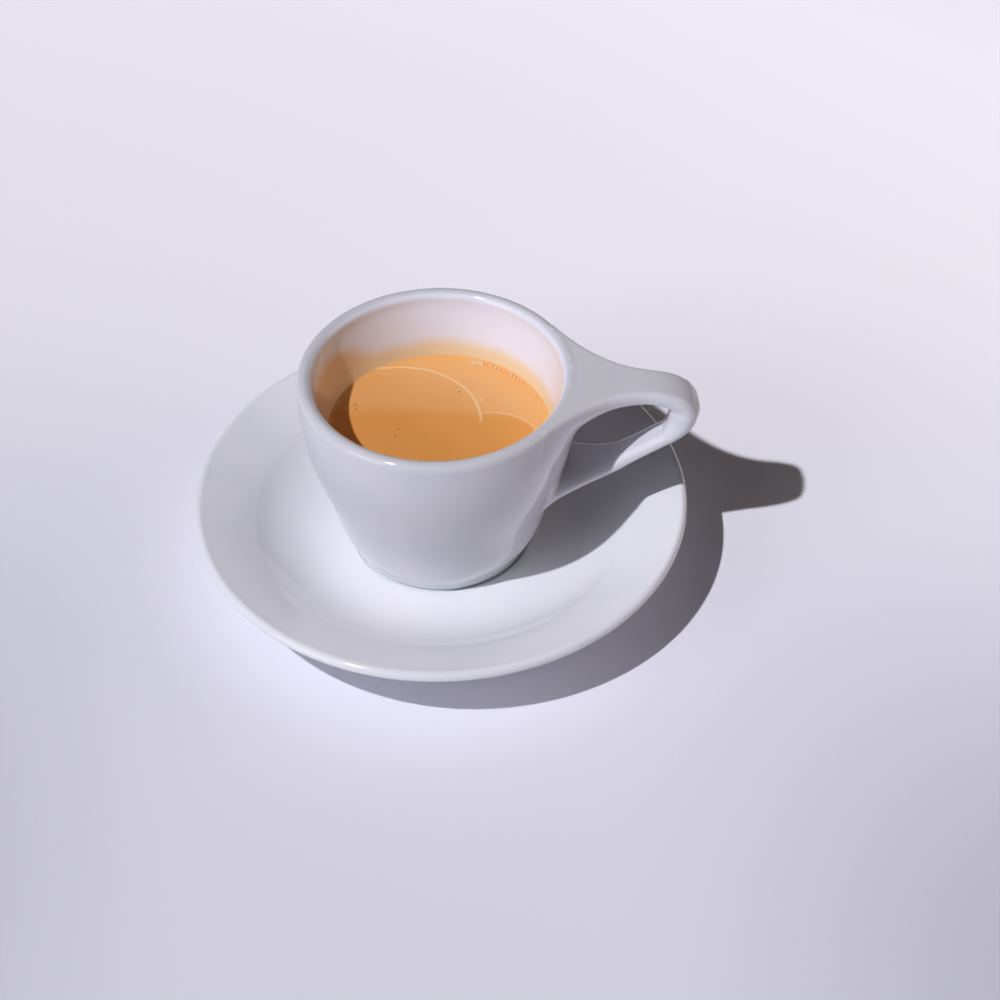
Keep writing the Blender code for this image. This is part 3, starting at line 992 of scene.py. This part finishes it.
def widening_lamp(name, place, power, colour, radius):
    """A small lamp that lights what is further off more strongly, up to a limit. At the
    origin it is as bright as a plain lamp of the same power."""
    light = bpy.data.lights.new(name, "POINT")
    light.energy = power
    light.color = colour
    light.shadow_soft_size = radius
    light.use_nodes = True
    tree = light.node_tree
    falloff = tree.nodes.new("ShaderNodeLightFalloff")
    distance = (Vector(place) * MM).length
    falloff.inputs["Strength"].default_value = 1.0 / distance ** 2
    limit = tree.nodes.new("ShaderNodeMath")
    limit.operation = "MINIMUM"
    limit.inputs[1].default_value = MOST_WIDENING
    tree.links.new(falloff.outputs["Constant"], limit.inputs[0])
    growth = tree.nodes.new("ShaderNodeMath")
    growth.operation = "MULTIPLY"
    tree.links.new(falloff.outputs["Constant"], growth.inputs[0])
    tree.links.new(limit.outputs[0], growth.inputs[1])
    tree.links.new(growth.outputs[0], tree.nodes["Emission"].inputs["Strength"])
    lamp = bpy.data.objects.new(name, light)
    lamp.location = Vector(place) * MM
    bpy.context.scene.collection.objects.link(lamp)


def make_lights():
    widening_lamp("key_lamp", KEY_PLACE, KEY_POWER, KEY_COLOUR, KEY_RADIUS)
    for name, place, size, power, colour in PANELS:
        soft_panel(name, place, PANEL_AIM, size, power, colour)
    world = bpy.data.worlds.new("soft_room")
    world.use_nodes = True
    back = world.node_tree.nodes["Background"]
    back.inputs["Color"].default_value = ROOM_COLOUR
    back.inputs["Strength"].default_value = ROOM_LIGHT
    bpy.context.scene.world = world


def make_camera():
    """The photograph's view: aimed at the origin, then panned, tilted and rolled a little."""
    right = Vector((1, 0, 0))
    ahead = Vector((0, math.cos(VIEW_ELEVATION), -math.sin(VIEW_ELEVATION)))
    up = right.cross(ahead)
    pan = Matrix.Rotation(PAN, 3, up)
    ahead, right = pan @ ahead, pan @ right
    tilt = Matrix.Rotation(TILT, 3, right)
    ahead, up = tilt @ ahead, tilt @ up
    roll = Matrix.Rotation(ROLL, 3, ahead)
    right, up = roll @ right, roll @ up
    swing = Matrix.Rotation(math.radians(VIEW_AZIMUTH), 3, "Z")
    axes = [swing @ right, swing @ up, -(swing @ ahead)]
    camera = bpy.data.cameras.new("photo_camera")
    camera.lens = CAMERA_LENS
    camera.sensor_width = FIELD_WIDTH
    thing = bpy.data.objects.new("photo_camera", camera)
    turn = Matrix(axes).transposed().to_4x4()
    thing.matrix_world = Matrix.Translation(Vector(CAMERA_PLACE) * MM) @ turn
    bpy.context.scene.collection.objects.link(thing)
    bpy.context.scene.camera = thing


cup = make_cup(cup_glaze())
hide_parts("cup")
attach(cup, "root")

saucer = make_saucer(saucer_glaze())
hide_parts("saucer")
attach(saucer, "root")

drink = make_drink(crema())
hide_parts("espresso")
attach(drink, "root")

bead_tree = beads_tree()
chain = round_drink(*BUBBLE_ARC, BUBBLE_RADIUS, DRINK_LEVEL + BUBBLE_LIFT, BUBBLE_STEPS)
glint = round_drink(*GLINT_ARC, BUBBLE_RADIUS - GLINT_INSET, DRINK_LEVEL, GLINT_STEPS)
specks = [(x + shift, y + shift, DRINK_LEVEL) for x, y in SPECKS for shift in SPECK_SHIFTS]
bubble_skin = froth("bubble_skin", BUBBLE_SKIN, BUBBLE_ROUGHNESS)
glint_skin = froth("glint_skin", GLINT_SKIN, GLINT_ROUGHNESS)
dark_speck = froth("dark_speck", SPECK_BROWN, SPECK_ROUGHNESS)
for name, places, slot, finish, sizes, flatness, seed in (
        ("edge_bubbles", chain, "crema", bubble_skin, BUBBLE_SIZES, BUBBLE_FLATNESS, 3),
        ("glint_bubbles", glint, "crema", glint_skin, GLINT_SIZES, GLINT_FLATNESS, 5),
        ("crema_specks", specks, None, dark_speck, SPECK_SIZES, SPECK_FLATNESS, 7)):
    inputs = {size: value * MM for size, value in sizes.items()}
    inputs.update({"Flatness": flatness, "Seed": seed, "Finish": finish})
    piece = beads(name, bead_tree, places, inputs)
    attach(piece, "root")

make_floor()
make_lights()
make_camera()
bpy.context.scene.view_settings.view_transform = "Standard"
